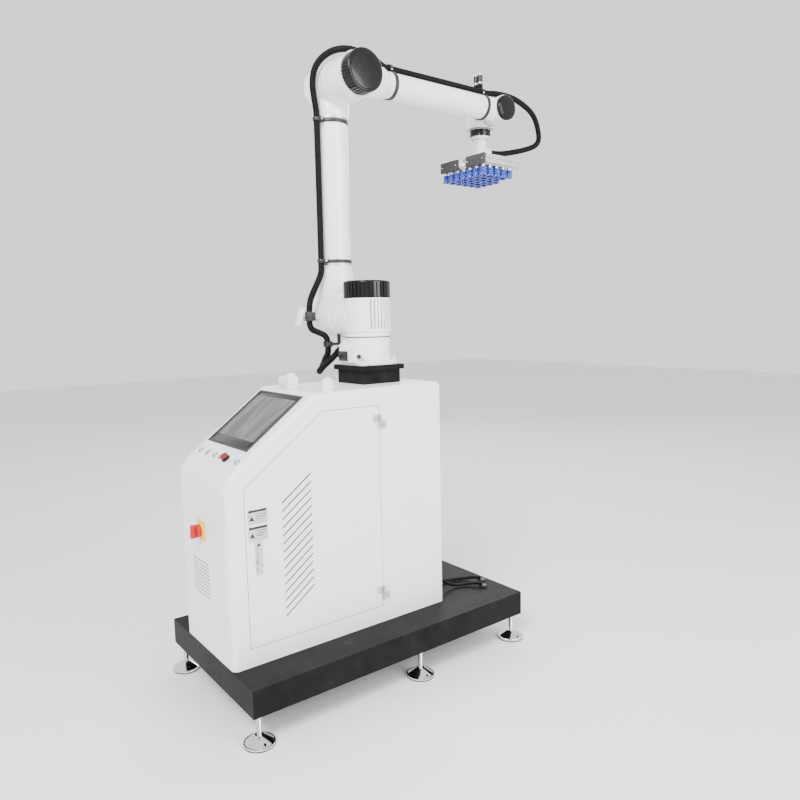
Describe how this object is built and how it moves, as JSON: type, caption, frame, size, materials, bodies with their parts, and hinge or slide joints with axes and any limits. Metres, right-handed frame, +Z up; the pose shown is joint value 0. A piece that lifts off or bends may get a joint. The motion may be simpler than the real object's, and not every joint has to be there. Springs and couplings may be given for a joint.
{
  "type": "palletising robot workstation",
  "caption": "Jointed robot arm with a vacuum gripper on a pedestal over a sloped console cabinet with a door, standing on a platform with levelling feet.",
  "frame": {"origin": "on the floor at the centre of the four corner feet's anchor holes", "axes": "+Z up, the console faces -Y, the cabinet door faces +X"},
  "size_m": [0.72, 1.9019, 2.395],
  "materials": {
    "black_steel": "satin black powder coat",
    "white_sheet": "white powder coat",
    "white_casting": "gloss white paint",
    "black_gloss": "gloss black",
    "chrome": "polished",
    "zinc": "zinc plated",
    "aluminium": "satin anodised",
    "dark_grey": "moulded",
    "grey_plastic": "moulded",
    "white_plastic": "moulded",
    "glass": "anti-glare screen",
    "yellow_plastic": "moulded",
    "red_plastic": "moulded",
    "black_rubber": "corrugated",
    "blue_rubber": "silicone"
  },
  "bodies": {
    "station": {"platform_frame": "black_steel", "levelling_feet": "chrome", "cabinet_shell": "white_sheet", "mounting_plate": "zinc", "robot_controller": "grey_plastic", "rail_modules": "grey_plastic", "vacuum_pump": "aluminium", "cable_glands": "dark_grey", "screen_frame": "dark_grey", "screen_glass": "glass", "button_collars": "zinc", "isolator_plate": "yellow_plastic", "top_fittings": "white_plastic", "hinge_pins": "zinc", "pedestal": "black_steel", "robot_base": "white_casting", "base_fittings": "dark_grey", "base_drive": "aluminium", "supply_cable": "black_rubber", "robot_cable": "black_rubber", "base_hose": "black_rubber"},
    "door": {"door_panel": "white_sheet", "hinge_leaves": "zinc", "handle_base": "zinc"},
    "handle": {"handle_lever": "zinc"},
    "isolator": {"isolator_knob": "red_plastic"},
    "button_1": {"push_button_1": "grey_plastic"},
    "button_2": {"push_button_2": "grey_plastic"},
    "button_3": {"push_button_3": "grey_plastic"},
    "button_4": {"push_button_4": "grey_plastic"},
    "key": {"key_switch": "zinc"},
    "stop": {"emergency_stop": "red_plastic"},
    "shoulder": {"shoulder_housing": "white_casting", "shoulder_hose_clip": "dark_grey", "shoulder_cap": "black_gloss", "shoulder_drive": "aluminium", "shoulder_hose": "black_rubber"},
    "upper_arm": {"shoulder_link": "white_casting", "upper_arm_tube": "white_casting", "elbow_link": "white_casting", "elbow_far_cap": "black_gloss", "upper_arm_hose": "black_rubber", "elbow_drive": "aluminium", "elbow_hose": "black_rubber"},
    "forearm": {"elbow_housing": "white_casting", "elbow_cap": "black_gloss", "forearm_tube": "white_casting", "wrist_yoke": "white_casting", "wrist_cap": "black_gloss", "forearm_clamps": "dark_grey", "forearm_hose": "black_rubber", "wrist_hose_upper": "black_rubber"},
    "wrist": {"wrist_housing": "white_casting", "wrist_hose_lower": "black_rubber"},
    "tool": {"tool_flange": "black_gloss", "gripper_stem": "white_casting", "gripper_plate": "aluminium", "valve_blocks": "dark_grey", "side_profiles": "aluminium", "suction_cups": "blue_rubber"}
  },
  "joints": [
    {"name": "shoulder_turn", "type": "hinge", "parent": "station", "child": "shoulder", "pos_m": [-0.016, 0.115, 1.257], "axis": [0, 0, 1], "range_deg": [-170, 170], "deforming": ["base_hose"]},
    {"name": "upper_arm_swing", "type": "hinge", "parent": "shoulder", "child": "upper_arm", "pos_m": [-0.15, 0.115, 1.345], "axis": [1, 0, 0], "range_deg": [-90, 60], "deforming": ["shoulder_hose"]},
    {"name": "forearm_swing", "type": "hinge", "parent": "upper_arm", "child": "forearm", "pos_m": [-0.15, 0.115, 2.243], "axis": [-1, 0, 0], "range_deg": [-150, 60], "deforming": ["elbow_hose"]},
    {"name": "wrist_swing", "type": "hinge", "parent": "forearm", "child": "wrist", "pos_m": [-0.12, 0.9, 2.243], "axis": [1, 0, 0], "range_deg": [-35, 110], "deforming": ["wrist_hose_upper"]},
    {"name": "tool_turn", "type": "hinge", "parent": "wrist", "child": "tool", "pos_m": [-0.18, 0.893, 2.147], "axis": [0, 0, 1], "range_deg": [-170, 170], "deforming": ["wrist_hose_lower"]},
    {"name": "door_hinge", "type": "hinge", "parent": "station", "child": "door", "pos_m": [0.2075, 0.003, 0.6], "axis": [0, 0, 1], "range_deg": [0, 120]},
    {"name": "handle_lift", "type": "hinge", "parent": "door", "child": "handle", "pos_m": [0.2, -0.492, 0.596], "axis": [0, -1, 0], "range_deg": [0, 40]},
    {"name": "isolator_turn", "type": "hinge", "parent": "station", "child": "isolator", "pos_m": [-0.009, -0.61, 0.625], "axis": [0, 1, 0], "range_deg": [0, 90]},
    {"name": "press_button_1", "type": "slide", "parent": "station", "child": "button_1", "axis": [0, 0.599, -0.8007], "range_m": [0, 0.003], "stiffness_N_per_m": 600, "springref_m": -0.002},
    {"name": "press_button_2", "type": "slide", "parent": "station", "child": "button_2", "axis": [0, 0.599, -0.8007], "range_m": [0, 0.003], "stiffness_N_per_m": 600, "springref_m": -0.002},
    {"name": "press_button_3", "type": "slide", "parent": "station", "child": "button_3", "axis": [0, 0.599, -0.8007], "range_m": [0, 0.003], "stiffness_N_per_m": 600, "springref_m": -0.002},
    {"name": "press_button_4", "type": "slide", "parent": "station", "child": "button_4", "axis": [0, 0.599, -0.8007], "range_m": [0, 0.003], "stiffness_N_per_m": 600, "springref_m": -0.002},
    {"name": "turn_key", "type": "hinge", "parent": "station", "child": "key", "pos_m": [0.161, -0.53325, 0.87333], "axis": [0, 0.599, -0.8007], "range_deg": [0, 90]},
    {"name": "press_stop", "type": "slide", "parent": "station", "child": "stop", "axis": [0, 0.599, -0.8007], "range_m": [0, 0.004], "stiffness_N_per_m": 1500, "springref_m": -0.003}
  ]
}
